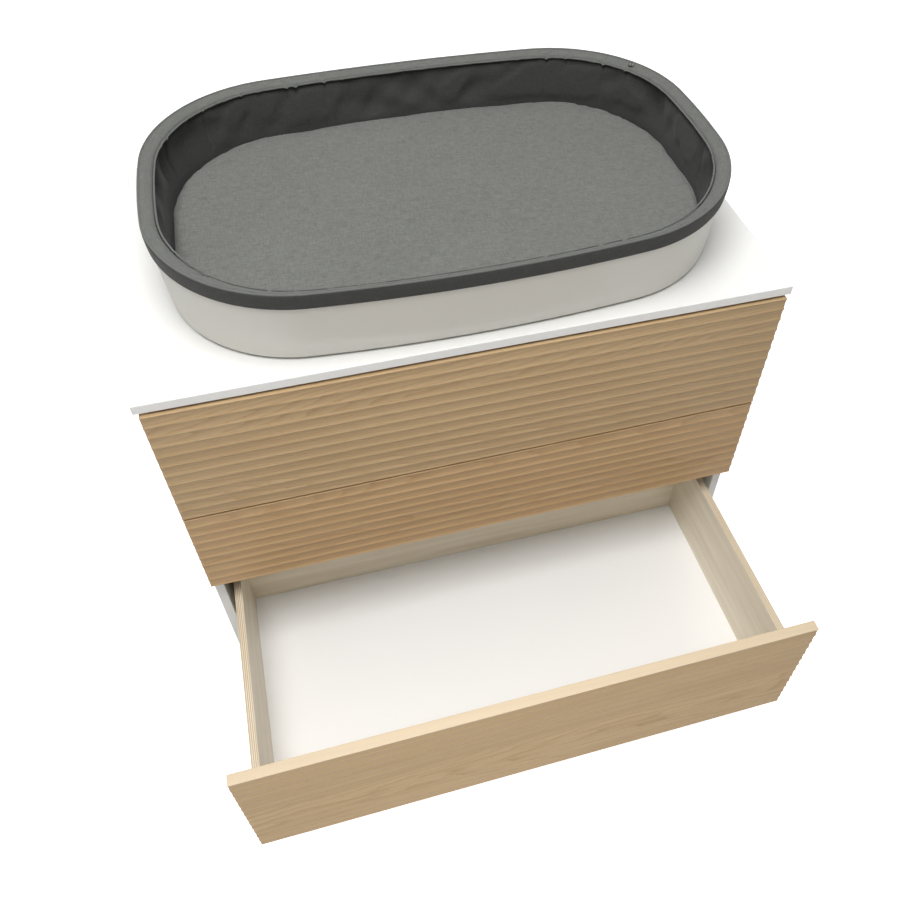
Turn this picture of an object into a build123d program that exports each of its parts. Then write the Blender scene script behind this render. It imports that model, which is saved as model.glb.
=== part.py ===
from build123d import *
import os

os.makedirs("parts", exist_ok=True)

# Changing table: a three-drawer chest on legs with an oval changing tray on its top.
# X runs along the width, +Y to the back, +Z up. The origin is on the floor, under the
# middle of the whole piece as it stands with its lowest drawer pulled out.

# Driving dimensions, millimetres
top_width = 980.0
top_depth = 589.0
top_height = 870.0
board = 16.0
case_width = 967.0
case_setback = 18.0        # worktop front edge to the case's front edges
case_back_setback = 6.0    # worktop back edge to the case's back
leg_height = 140.0
edge_round = 1.2

flute_pitch = 21.25        # one milled flute of a drawer front
flute_depth = 2.0
flute_land = 0.8
front_thickness = 18.5
front_proud = 4.0          # drawer fronts stand this far past the worktop's edge
front_gap = 4.0
front_corner = 2.5
drawers = [("top", 11), ("middle", 9), ("bottom", 13)]     # name, flutes on its front
rest_opening = {"top": 0.0, "middle": 0.0, "bottom": 343.5}

ply = 13.0                 # drawer box walls, birch plywood
box_length = 440.5
box_below_front = 51.0     # front's top edge down to the box walls' top
box_above_front = 37.0     # front's bottom edge up to the box walls' bottom
bottom_sheet = 5.0
bottom_groove = 5.5        # how deep the bottom sheet sits in the walls
bottom_rise = 12.0         # walls' lower edge up to the bottom sheet

runner_gap = 13.0          # case side to box wall
runner_length = 438.0
runner_sheet = 1.2
runner_rise = 46.0         # walls' lower edge up to the middle of the runner

tray_half_length = 440.0
tray_half_depth = 300.0
tray_height = 136.0        # rim above the worktop, at the middle of the long sides
rim_saddle = 5.0           # how much higher the rim is at the two ends
side_curve = 5.8           # radius of the long sides over the half length
end_curve = 4.4            # radius of the ends over the half depth
corner_curve = 0.755       # radius of the corners over the half depth
foot_inset_end = 8.0       # the wall leans in towards its foot
foot_inset_side = 25.0
shell_wall = 5.0
shell_floor = 5.0
pad_height = 3.0
cover_thickness = 2.5      # fabric over the shell's rim
cover_band = 23.0          # height of the band that hangs over the rim outside
rim_width = 22.0
mattress_top = 59.0        # above the worktop
mattress_gap = 2.0

# Levels and faces that follow from them
front_edge = -(top_depth - front_proud - rest_opening["bottom"]) / 2
back_edge = front_edge + top_depth
case_front = front_edge + case_setback
case_back = back_edge - case_back_setback
case_top = top_height - board
inner_half = case_width / 2 - board
back_sheet = 4.0
back_rebate = 8.0
panel_back = case_back - back_sheet
front_face = front_edge - front_proud
front_back = front_face + front_thickness
box_half = inner_half - runner_gap
flutes_total = sum(count for name, count in drawers)
top_gap = case_top - leg_height - flutes_total * flute_pitch - (len(drawers) - 1) * front_gap
tray_y = back_edge - tray_half_depth
rail_depth = 80.0

# Fasteners
cam_radius = 7.5
cam_depth = 12.5
cam_inset = 34.0           # board end to the cam's centre
bolt_radius = 3.0
bolt_into_side = 10.0
dowel_radius = 4.0
dowel_length = 30.0
dowel_into_side = 11.0
screw_radius = 2.0
head_radius = 4.0
head_height = 2.4
slip = 0.1                 # radial clearance of a fastener in its hole

rail_middle = case_top - board / 2
floor_middle = leg_height + board / 2
cam_spots = [
    (case_front + rail_depth / 2 - 14, rail_middle),
    (panel_back - rail_depth / 2 + 14, rail_middle),
    (case_front + 60, floor_middle),
    (panel_back - 60, floor_middle),
]
dowel_spots = [
    (case_front + rail_depth / 2 + 16, rail_middle),
    (panel_back - rail_depth / 2 - 16, rail_middle),
    (case_front + 100, floor_middle),
    (panel_back - 100, floor_middle),
]
rail_screw_spots = [(x, y) for x in (-380, 0, 380) for y in (case_front + 40, panel_back - 40)]
back_screw_spots = [(side * (inner_half + 4.2), z) for side in (-1, 1) for z in (190, 340, 490, 640, 790)]

leg_x = 425.0
leg_front_y = case_front + 52
leg_back_y = case_back - 52
leg_spots = {
    "front_left": (-leg_x, leg_front_y),
    "front_right": (leg_x, leg_front_y),
    "back_left": (-leg_x, leg_back_y),
    "back_right": (leg_x, leg_back_y),
}
leg_top_radius = 23.0
leg_foot_radius = 15.0
leg_plate = 70.0
leg_plate_sheet = 2.5
plate_screw_spacing = 52.0
glide_radius = 12.0
glide_height = 3.0
stud_radius = 4.0

hanger_x = 380.0
hanger_width = 50.0
hanger_sheet = 2.0
hanger_low = case_top - 56
hanger_hole_radius = 3.25
hanger_hole_z = case_top - 40
hanger_screw_z = case_top - 8


def save(solid, label):
    solid.label = label
    export_step(solid, f"parts/{label}.step")


def slab(x_low, x_high, y_low, y_high, z_low, z_high, mode=Mode.ADD):
    """A box between two corners, in the part that is being built."""
    middle = ((x_low + x_high) / 2, (y_low + y_high) / 2, (z_low + z_high) / 2)
    with Locations(middle):
        Box(x_high - x_low, y_high - y_low, z_high - z_low, mode=mode)


def drill(spots, radius, depth, rotation):
    """Round holes of a given depth, centred on the spots."""
    with Locations(*spots):
        Cylinder(radius, 2 * depth, rotation=rotation, mode=Mode.SUBTRACT)


def rods(spots, radius, length, rotation=(0, 0, 0)):
    with Locations(*spots):
        Cylinder(radius, length, rotation=rotation)


along_x = (0, 90, 0)
along_y = (90, 0, 0)
along_z = (0, 0, 0)


# ---- Case ----

with BuildPart() as top_panel:
    slab(-top_width / 2, top_width / 2, front_edge, back_edge, case_top, top_height)
    fillet(top_panel.edges(), edge_round)
    screw_holes = [(x, y, case_top) for x, y in rail_screw_spots]
    drill(screw_holes, screw_radius + slip, 10, along_z)
save(top_panel.part, "top_panel")

for side, side_name in ((-1, "left"), (1, "right")):
    inside = side * inner_half
    outside = side * case_width / 2
    rebate = side * (inner_half + back_rebate)
    with BuildPart() as side_panel:
        slab(min(inside, outside), max(inside, outside), case_front, case_back, leg_height, case_top)
        fillet(side_panel.edges().filter_by(Axis.Z).group_by(Axis.Y)[0], edge_round)
        slab(min(inside, rebate), max(inside, rebate), panel_back, case_back,
             leg_height, case_top, mode=Mode.SUBTRACT)
        drill([(inside, y, z) for y, z in cam_spots], bolt_radius + slip, bolt_into_side, along_x)
        drill([(inside, y, z) for y, z in dowel_spots], dowel_radius + slip, dowel_into_side, along_x)
        own_screws = [(x, panel_back, z) for x, z in back_screw_spots if x * side > 0]
        drill(own_screws, 1.5 + slip, 11, along_y)
    save(side_panel.part, f"side_panel_{side_name}")


def cross_board(y_low, y_high, z_low):
    """A board between the two sides, drilled for its cams, cam bolts and dowels."""
    z_middle = z_low + board / 2
    own_cams = [y for y, z in cam_spots if z == z_middle and y_low < y < y_high]
    own_dowels = [y for y, z in dowel_spots if z == z_middle and y_low < y < y_high]
    ends = (-inner_half, inner_half)
    cams = [(end - cam_inset * end / inner_half, y, z_low) for end in ends for y in own_cams]
    slab(-inner_half, inner_half, y_low, y_high, z_low, z_low + board)
    drill([(end, y, z_middle) for end in ends for y in own_cams], bolt_radius + slip, cam_inset, along_x)
    drill([(end, y, z_middle) for end in ends for y in own_dowels], dowel_radius + slip, 20, along_x)
    drill(cams, cam_radius + slip, cam_depth + 0.3, along_z)


with BuildPart() as front_rail:
    cross_board(case_front, case_front + rail_depth, case_top - board)
    own_screws = [(x, y, case_top) for x, y in rail_screw_spots if y < 0]
    drill(own_screws, screw_radius + slip, board, along_z)
    drill([(x, y, case_top - board) for x, y, z in own_screws], head_radius + slip, head_height, along_z)
save(front_rail.part, "front_rail")

hanger_screws = [(side * hanger_x + dx, hanger_screw_z) for side in (-1, 1) for dx in (-16, 16)]
with BuildPart() as rear_rail:
    cross_board(panel_back - rail_depth, panel_back, case_top - board)
    own_screws = [(x, y, case_top) for x, y in rail_screw_spots if y > 0]
    drill(own_screws, screw_radius + slip, board, along_z)
    drill([(x, y, case_top - board) for x, y, z in own_screws], head_radius + slip, head_height, along_z)
    drill([(x, panel_back, z) for x, z in hanger_screws], 1.5 + slip, 16, along_y)
save(rear_rail.part, "rear_rail")

plate_screws = [
    (x + dx * plate_screw_spacing / 2, y + dy * plate_screw_spacing / 2)
    for x, y in leg_spots.values() for dx in (-1, 1) for dy in (-1, 1)
]
with BuildPart() as bottom_panel:
    cross_board(case_front, panel_back, leg_height)
    drill([(x, y, leg_height) for x, y in plate_screws], screw_radius + slip, 11, along_z)
    drill([(x, y, leg_height) for x, y in leg_spots.values()], stud_radius + 0.5, 8, along_z)
save(bottom_panel.part, "bottom_panel")

with BuildPart() as back_panel:
    half = inner_half + back_rebate - 0.25
    slab(-half, half, panel_back, case_back, leg_height, case_top)
    drill([(x, case_back, z) for x, z in back_screw_spots], 1.5 + slip, back_sheet + 1, along_y)
    drill([(x, case_back, z) for x, z in hanger_screws], 1.5 + slip, back_sheet + 1, along_y)
    drill([(side * hanger_x, case_back, hanger_hole_z) for side in (-1, 1)], 8, back_sheet + 1, along_y)
save(back_panel.part, "back_panel")

# Two steel hanging plates tie the chest to the wall
with BuildPart() as wall_plates:
    for side in (-1, 1):
        slab(side * hanger_x - hanger_width / 2, side * hanger_x + hanger_width / 2,
             case_back, case_back + hanger_sheet, hanger_low, case_top - 1)
    fillet(wall_plates.edges().filter_by(Axis.Y), 4)
    drill([(x, case_back, z) for x, z in hanger_screws], 1.5 + slip, 4, along_y)
    drill([(side * hanger_x, case_back, hanger_hole_z) for side in (-1, 1)],
          hanger_hole_radius, 4, along_y)
save(wall_plates.part, "wall_plates")

with BuildPart() as wall_plate_screws:
    rods([(x, case_back - 6, z) for x, z in hanger_screws], 1.5, 12 + 2 * hanger_sheet, along_y)
    rods([(x, case_back + hanger_sheet + 0.6, z) for x, z in hanger_screws], 3.2, 1.2, along_y)
save(wall_plate_screws.part, "wall_plate_screws")

with BuildPart() as back_panel_screws:
    rods([(x, case_back - 5.5, z) for x, z in back_screw_spots], 1.5, 13, along_y)
    rods([(x, case_back + 1.5, z) for x, z in back_screw_spots], 3.0, 1.0, along_y)
save(back_panel_screws.part, "back_panel_screws")

cam_ends = (-inner_half, inner_half)
with BuildPart() as cam_locks:
    for end in cam_ends:
        x = end - cam_inset * end / inner_half
        rods([(x, y, z - board / 2 + cam_depth / 2) for y, z in cam_spots], cam_radius, cam_depth)
    with Locations(*[(end - cam_inset * end / inner_half, y, z - board / 2)
                     for end in cam_ends for y, z in cam_spots]):
        Box(8, 1.6, 2, mode=Mode.SUBTRACT)
        Box(1.6, 8, 2, mode=Mode.SUBTRACT)
save(cam_locks.part, "cam_locks")

with BuildPart() as cam_bolts:
    length = bolt_into_side + cam_inset - cam_radius - 0.5
    for end in cam_ends:
        side = end / inner_half
        x = end + side * (bolt_into_side - 0.2 - length / 2)
        rods([(x, y, z) for y, z in cam_spots], bolt_radius, length, along_x)
save(cam_bolts.part, "cam_bolts")

with BuildPart() as dowels:
    for end in cam_ends:
        side = end / inner_half
        x = end + side * (dowel_into_side - 0.5 - dowel_length / 2)
        rods([(x, y, z) for y, z in dowel_spots], dowel_radius, dowel_length, along_x)
save(dowels.part, "dowels")

with BuildPart() as rail_screws:
    rods([(x, y, case_top - board + head_height / 2) for x, y in rail_screw_spots],
         head_radius, head_height)
    rods([(x, y, case_top - board + head_height + 11) for x, y in rail_screw_spots], screw_radius, 22)
save(rail_screws.part, "rail_screws")


# ---- Legs ----

leg_length = leg_height - leg_plate_sheet - glide_height
for leg_name, (leg_at_x, leg_at_y) in leg_spots.items():
    with BuildPart() as leg:
        with Locations((leg_at_x, leg_at_y, glide_height + leg_length / 2)):
            Cone(leg_foot_radius, leg_top_radius, leg_length)
        fillet(leg.edges().group_by(Axis.Z)[0], 2)
        fillet(leg.edges().group_by(Axis.Z)[-1], 1)
        drill([(leg_at_x, leg_at_y, leg_height - leg_plate_sheet)], stud_radius + slip, 26, along_z)
    save(leg.part, f"leg_{leg_name}")

with BuildPart() as leg_plates:
    for leg_at_x, leg_at_y in leg_spots.values():
        slab(leg_at_x - leg_plate / 2, leg_at_x + leg_plate / 2,
             leg_at_y - leg_plate / 2, leg_at_y + leg_plate / 2, leg_height - leg_plate_sheet, leg_height)
    fillet(leg_plates.edges().filter_by(Axis.Z), 8)
    drill([(x, y, leg_height) for x, y in plate_screws], screw_radius + slip, 4, along_z)
    drill([(x, y, leg_height) for x, y in leg_spots.values()], stud_radius + slip, 4, along_z)
save(leg_plates.part, "leg_plates")

with BuildPart() as leg_studs:
    rods([(x, y, leg_height - 8) for x, y in leg_spots.values()], stud_radius, 28)
save(leg_studs.part, "leg_studs")

with BuildPart() as leg_plate_screws:
    rods([(x, y, leg_height + 4) for x, y in plate_screws], screw_radius, 13)
    rods([(x, y, leg_height - leg_plate_sheet - 0.9) for x, y in plate_screws], 3.8, 1.8)
save(leg_plate_screws.part, "leg_plate_screws")

with BuildPart() as foot_glides:
    rods([(x, y, glide_height / 2) for x, y in leg_spots.values()], glide_radius, glide_height)
save(foot_glides.part, "foot_glides")


# ---- Drawers and their runners ----

def channel(web_low, web_high, lip_end, height, y_low, z_middle):
    """Left and right runner members: a web and two lips, set out from the case's sides."""
    low, high = sorted((inner_half - lip_end, inner_half - web_low))
    if lip_end < web_low:
        low, high = inner_half - web_high, inner_half - lip_end
    inner_low = low if lip_end > web_high else low + runner_sheet
    inner_high = high - runner_sheet if lip_end > web_high else high
    with BuildSketch(Plane.XZ.offset(-y_low)) as profile:
        with Locations(((low + high) / 2, z_middle)):
            Rectangle(high - low, height)
        with Locations(((inner_low + inner_high) / 2, z_middle)):
            Rectangle(inner_high - inner_low, height - 2 * runner_sheet, mode=Mode.SUBTRACT)
    extrude(profile.sketch, amount=-runner_length)
    mirror(about=Plane.YZ)


def make_drawer(name, flutes, front_top):
    """One drawer with its runner members, pulled out by its opening at rest."""
    opening = rest_opening[name]
    front_height = flutes * flute_pitch
    front_low = front_top - front_height
    wall_low = front_low + box_above_front
    wall_high = front_top - box_below_front
    face = front_face - opening
    back_of_front = front_back - opening
    box_back = back_of_front + box_length
    inside = box_half - ply
    sheet_low = wall_low + bottom_rise
    sheet_high = sheet_low + bottom_sheet
    runner_middle = wall_low + runner_rise
    z_screws = (wall_low + 30, wall_high - 16)
    front_screws = [(x, z) for x in (-360, 0, 360) for z in z_screws]

    # Milled solid front: a plank with round-bottomed flutes along its whole width
    half_chord = (flute_pitch - flute_land) / 2
    cutter = (half_chord ** 2 + flute_depth ** 2) / (2 * flute_depth)
    with BuildPart() as drawer_front:
        slab(-case_width / 2, case_width / 2, face, back_of_front, front_low, front_top)
        fillet(drawer_front.edges().filter_by(Axis.Z), front_corner)
        flute_rows = [(0, face + flute_depth - cutter, front_low + (row + 0.5) * flute_pitch)
                      for row in range(flutes)]
        with Locations(*flute_rows):
            Cylinder(cutter, case_width + 10, rotation=along_x, mode=Mode.SUBTRACT)
        drill([(x, back_of_front, z) for x, z in front_screws], screw_radius + slip, 13, along_y)
    save(drawer_front.part, f"drawer_{name}_front")

    for side, side_name in ((-1, "left"), (1, "right")):
        near, far = side * inside, side * box_half
        groove = side * (inside + bottom_groove)
        with BuildPart() as box_side:
            slab(min(near, far), max(near, far), back_of_front, box_back, wall_low, wall_high)
            fillet(box_side.edges().filter_by(Axis.Y).group_by(Axis.Z)[-1], 0.8)
            slab(min(near, groove), max(near, groove), back_of_front + ply - bottom_groove, box_back,
                 sheet_low, sheet_high, mode=Mode.SUBTRACT)
        save(box_side.part, f"drawer_{name}_side_{side_name}")

    with BuildPart() as inner_front:
        slab(-inside, inside, back_of_front, back_of_front + ply, wall_low, wall_high)
        slab(-inside, inside, back_of_front + ply - bottom_groove, back_of_front + ply,
             sheet_low, sheet_high, mode=Mode.SUBTRACT)
        drill([(x, back_of_front, z) for x, z in front_screws], screw_radius + slip, ply + 1, along_y)
    save(inner_front.part, f"drawer_{name}_inner_front")

    with BuildPart() as box_rear:
        slab(-inside, inside, box_back - ply, box_back, sheet_high, wall_high)
        fillet(box_rear.edges().filter_by(Axis.X).group_by(Axis.Z)[-1], 0.8)
    save(box_rear.part, f"drawer_{name}_back")

    reach = inside + bottom_groove - 0.25
    with BuildPart() as sheet:
        slab(-reach, reach, back_of_front + ply - bottom_groove + 0.25, box_back - 0.5,
             sheet_low + 0.1, sheet_high)
    save(sheet.part, f"drawer_{name}_bottom")

    with BuildPart() as screws:
        rods([(x, back_of_front + ply / 2 - 5.5, z) for x, z in front_screws],
             screw_radius, ply + 11, along_y)
        rods([(x, back_of_front + ply + 1, z) for x, z in front_screws], head_radius, 2, along_y)
    save(screws.part, f"drawer_{name}_front_screws")

    with BuildPart() as outer_member:
        channel(0, runner_sheet, 8.5, 45, case_front + 1, runner_middle)
    save(outer_member.part, f"runner_{name}_outer")

    with BuildPart() as middle_member:
        channel(2.6, 2.6 + runner_sheet, 10, 38, case_front + 1 - opening / 2, runner_middle)
    save(middle_member.part, f"runner_{name}_middle")

    with BuildPart() as inner_member:
        channel(runner_gap - runner_sheet, runner_gap, 5.5, 31, case_front + 1 - opening, runner_middle)
    save(inner_member.part, f"runner_{name}_inner")

    return front_low - front_gap


next_top = case_top - top_gap
for drawer_name, flute_count in drawers:
    next_top = make_drawer(drawer_name, flute_count, next_top)


# ---- Changing tray ----

def oval(half_length, half_depth):
    """The tray's outline: eight arcs that run smoothly into each other."""
    side_radius = side_curve * half_length
    end_radius = end_curve * half_depth
    corner_radius = corner_curve * half_depth
    side_centre = Vector(0, half_depth - side_radius)
    end_centre = Vector(half_length - end_radius, 0)
    between = end_centre - side_centre
    to_side = side_radius - corner_radius
    to_end = end_radius - corner_radius
    along = (between.length ** 2 + to_side ** 2 - to_end ** 2) / (2 * between.length)
    out = (to_side ** 2 - along ** 2) ** 0.5
    step = between.normalized()
    corner = side_centre + step * along + Vector(step.Y, -step.X) * out
    side_join = side_centre + (corner - side_centre).normalized() * side_radius
    end_join = end_centre + (corner - end_centre).normalized() * end_radius
    corner_top = corner + ((side_join + end_join) / 2 - corner).normalized() * corner_radius
    with BuildLine() as outline:
        for sx, sy in ((1, 1), (-1, 1), (-1, -1), (1, -1)):
            ThreePointArc((sx * end_join.X, sy * end_join.Y), (sx * corner_top.X, sy * corner_top.Y),
                          (sx * side_join.X, sy * side_join.Y))
        for sign in (1, -1):
            ThreePointArc((-side_join.X, sign * side_join.Y), (0, sign * half_depth),
                          (side_join.X, sign * side_join.Y))
            ThreePointArc((sign * end_join.X, -end_join.Y), (sign * half_length, 0),
                          (sign * end_join.X, end_join.Y))
    make_face(outline.edges())


def leaning_oval(z_low, low, z_high, high, mode=Mode.ADD):
    """A solid between two ovals, given as (half length, half depth) above the worktop."""
    sections = []
    for z, size in ((z_low, low), (z_high, high)):
        with BuildSketch(Plane((0, tray_y, top_height + z))) as section:
            oval(*size)
        sections.append(section.sketch)
    loft(sections, ruled=True, mode=mode)


def shell_size(z, inset=0.0):
    """The shell's outside at a height, less an inset."""
    lean = 1 - z / (tray_height - cover_thickness)
    return (tray_half_length - cover_thickness - foot_inset_end * lean - inset,
            tray_half_depth - cover_thickness - foot_inset_side * lean - inset)


def below_rim(height):
    """Keeps what is under the saddle-shaped rim."""
    reach = tray_half_length + 20
    middle = top_height + height
    with BuildSketch(Plane.XZ.offset(-tray_y)) as profile:
        with BuildLine():
            ThreePointArc((-reach, middle + rim_saddle), (0, middle), (reach, middle + rim_saddle))
            Polyline((reach, middle + rim_saddle), (reach, top_height), (-reach, top_height),
                     (-reach, middle + rim_saddle))
        make_face()
    extrude(profile.sketch, amount=tray_half_depth + 20, both=True, mode=Mode.INTERSECT)


spare = tray_height + 20
shell_rim = tray_height - cover_thickness
with BuildPart() as tray_shell:
    leaning_oval(pad_height, shell_size(pad_height), spare, shell_size(spare))
    leaning_oval(0, shell_size(0, shell_wall), spare + 1, shell_size(spare + 1, shell_wall),
                 mode=Mode.SUBTRACT)
    below_rim(shell_rim)
save(tray_shell.part, "tray_shell")

floor_top = pad_height + shell_floor
with BuildPart() as tray_floor:
    leaning_oval(pad_height, shell_size(pad_height, shell_wall + 0.1),
                 floor_top, shell_size(pad_height, shell_wall + 0.1))
save(tray_floor.part, "tray_floor")

pad_spots = [(x, tray_y + y, top_height + pad_height / 2) for x in (-330, 0, 330) for y in (-170, 170)]
with BuildPart() as tray_pads:
    rods(pad_spots, 10, pad_height)
save(tray_pads.part, "tray_pads")

# Padded fabric liner: a band over the rim and a lining down the inside of the shell
lining_low = floor_top + 0.2
band_low = tray_height - cover_band
well_low = (tray_half_length - 24.0, shell_size(floor_top, shell_wall + 4)[1])
well_high = (tray_half_length - rim_width, tray_half_depth - rim_width)
with BuildPart() as shell_room:
    leaning_oval(pad_height, shell_size(pad_height, -0.2), spare, shell_size(spare, -0.2))
    below_rim(shell_rim + 0.2)
with BuildPart() as tray_liner:
    leaning_oval(band_low, (tray_half_length - 1, tray_half_depth - 3.5),
                 spare, (tray_half_length, tray_half_depth))
    add(shell_room.part, mode=Mode.SUBTRACT)
    leaning_oval(lining_low, shell_size(lining_low, shell_wall + 0.3),
                 spare, shell_size(spare, shell_wall + 0.3))
    leaning_oval(lining_low - 1, well_low, spare + 1, well_high, mode=Mode.SUBTRACT)
    below_rim(tray_height)
save(tray_liner.part, "tray_liner")

# Flat tab of the cover's zip, lying along the rim at the back right corner
zip_tab = (12.0, 4.0, 1.2)
zip_x, zip_y = 387.5, 176.5
zip_turn = -57.0
zip_rise = rim_saddle * (zip_x / (tray_half_length + 20)) ** 2
zip_z = tray_height + zip_rise + zip_tab[2] / 2 + 0.15
with BuildPart() as zip_pull:
    with Locations((zip_x, tray_y + zip_y, top_height + zip_z)):
        Box(*zip_tab, rotation=(0, 0, zip_turn))
save(zip_pull.part, "zip_pull")

# Loose mattress, which lies on the tray's floor
with BuildPart() as mattress:
    leaning_oval(floor_top + 0.3, (well_low[0] - mattress_gap - 1, well_low[1] - mattress_gap - 1),
                 mattress_top, (well_low[0] - mattress_gap, well_low[1] + 2.5))
    fillet(mattress.edges().group_by(Axis.Z)[-1], 6)
save(mattress.part, "mattress")
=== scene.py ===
import math
import bmesh
import bpy
from mathutils import Matrix, Vector, noise


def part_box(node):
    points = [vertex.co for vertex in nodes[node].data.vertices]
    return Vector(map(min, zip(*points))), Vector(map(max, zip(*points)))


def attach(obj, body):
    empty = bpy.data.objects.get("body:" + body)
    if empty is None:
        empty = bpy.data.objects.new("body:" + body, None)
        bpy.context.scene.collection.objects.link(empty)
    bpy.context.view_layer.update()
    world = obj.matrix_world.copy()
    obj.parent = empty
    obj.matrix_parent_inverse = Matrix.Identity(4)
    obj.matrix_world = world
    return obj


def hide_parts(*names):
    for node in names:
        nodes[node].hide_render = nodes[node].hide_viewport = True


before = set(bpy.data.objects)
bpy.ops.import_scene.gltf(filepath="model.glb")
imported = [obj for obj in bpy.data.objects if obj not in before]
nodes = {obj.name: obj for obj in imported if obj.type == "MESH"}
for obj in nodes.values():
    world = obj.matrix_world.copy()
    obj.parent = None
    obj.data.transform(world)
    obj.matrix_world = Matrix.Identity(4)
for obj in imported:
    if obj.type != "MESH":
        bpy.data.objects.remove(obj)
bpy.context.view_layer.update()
print("frame loaded:", len(nodes), "nodes")


# Small helpers for wiring shader and geometry trees

def add(tree, kind, values=None, **settings):
    node = tree.nodes.new(kind)
    for key, value in settings.items():
        setattr(node, key, value)
    for key, value in (values or {}).items():
        if isinstance(value, bpy.types.NodeSocket):
            tree.links.new(value, node.inputs[key])
        else:
            node.inputs[key].default_value = value
    return node


def calc(tree, operation, first, second=0.0):
    return add(tree, "ShaderNodeMath", {0: first, 1: second}, operation=operation).outputs[0]


def noiseOf(tree, vector, scale, detail=2.0, roughness=0.5):
    texture = add(tree, "ShaderNodeTexNoise", {"Vector": vector, "Scale": scale, "Detail": detail,
                                               "Roughness": roughness})
    return texture.outputs[0]


def stretched(tree, vector, scale, shift=(0, 0, 0)):
    return add(tree, "ShaderNodeMapping", {"Vector": vector, "Scale": scale, "Location": shift}).outputs[0]


def between(tree, factor, low, high):
    # a number that runs from low to high as the factor runs from 0 to 1
    return add(tree, "ShaderNodeMapRange", {0: factor, 3: low, 4: high}).outputs[0]


def blendColour(tree, factor, first, second):
    return add(tree, "ShaderNodeMix", {0: factor, 6: first, 7: second}, data_type="RGBA").outputs[2]


def scaled(tree, colour, amount):
    # a colour made lighter or darker by a varying amount
    grey = add(tree, "ShaderNodeCombineXYZ", {0: amount, 1: amount, 2: amount}).outputs[0]
    return add(tree, "ShaderNodeVectorMath", {0: colour, 1: grey}, operation="MULTIPLY").outputs[0]


def startMaterial(name, roughness=0.5, metallic=0.0):
    material = bpy.data.materials.new(name)
    material.use_nodes = True
    shader = material.node_tree.nodes["Principled BSDF"]
    shader.inputs["Roughness"].default_value = roughness
    shader.inputs["Metallic"].default_value = metallic
    return material, material.node_tree, shader


def placeOf(tree, source="Object"):
    return add(tree, "ShaderNodeTexCoord").outputs[source]


def roughen(tree, shader, height, distance, strength=1.0):
    bump = add(tree, "ShaderNodeBump", {"Height": height, "Distance": distance, "Strength": strength})
    tree.links.new(bump.outputs[0], shader.inputs["Normal"])


def colourOf(tree, shader, socket):
    tree.links.new(socket, shader.inputs["Base Color"])


# Finishes

lacquer = {"colour": (0.80, 0.797, 0.775), "roughness": 0.36, "peel": 0.00003}


def whiteLacquer(name, colour, roughness, peel):
    material, tree, shader = startMaterial(name, roughness)
    place = placeOf(tree)
    cloud = noiseOf(tree, place, 3.0)
    colourOf(tree, shader, scaled(tree, colour, between(tree, cloud, 0.985, 1.01)))
    worn = noiseOf(tree, place, 28.0, 4.0)
    tree.links.new(between(tree, worn, roughness - 0.05, roughness + 0.06), shader.inputs["Roughness"])
    roughen(tree, shader, noiseOf(tree, place, 420.0, 1.0), peel)
    shader.inputs["Coat Weight"].default_value = 0.15
    shader.inputs["Coat Roughness"].default_value = 0.25
    return material


beech = {
    "light": (0.510, 0.366, 0.204),
    "dark": (0.350, 0.219, 0.101),
    "edge": (0.76, 0.64, 0.47),      # the paler planed top edge, partly painted light, as it is shown only on the lit bottom front
    "ringWidth": 0.0042,
    "ringDepth": 0.55,      # how strongly a growth ring darkens
    "stave": 0.058,         # width of the glued staves
    "fleckDepth": 0.35,
    "roughness": 0.52,
}


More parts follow.
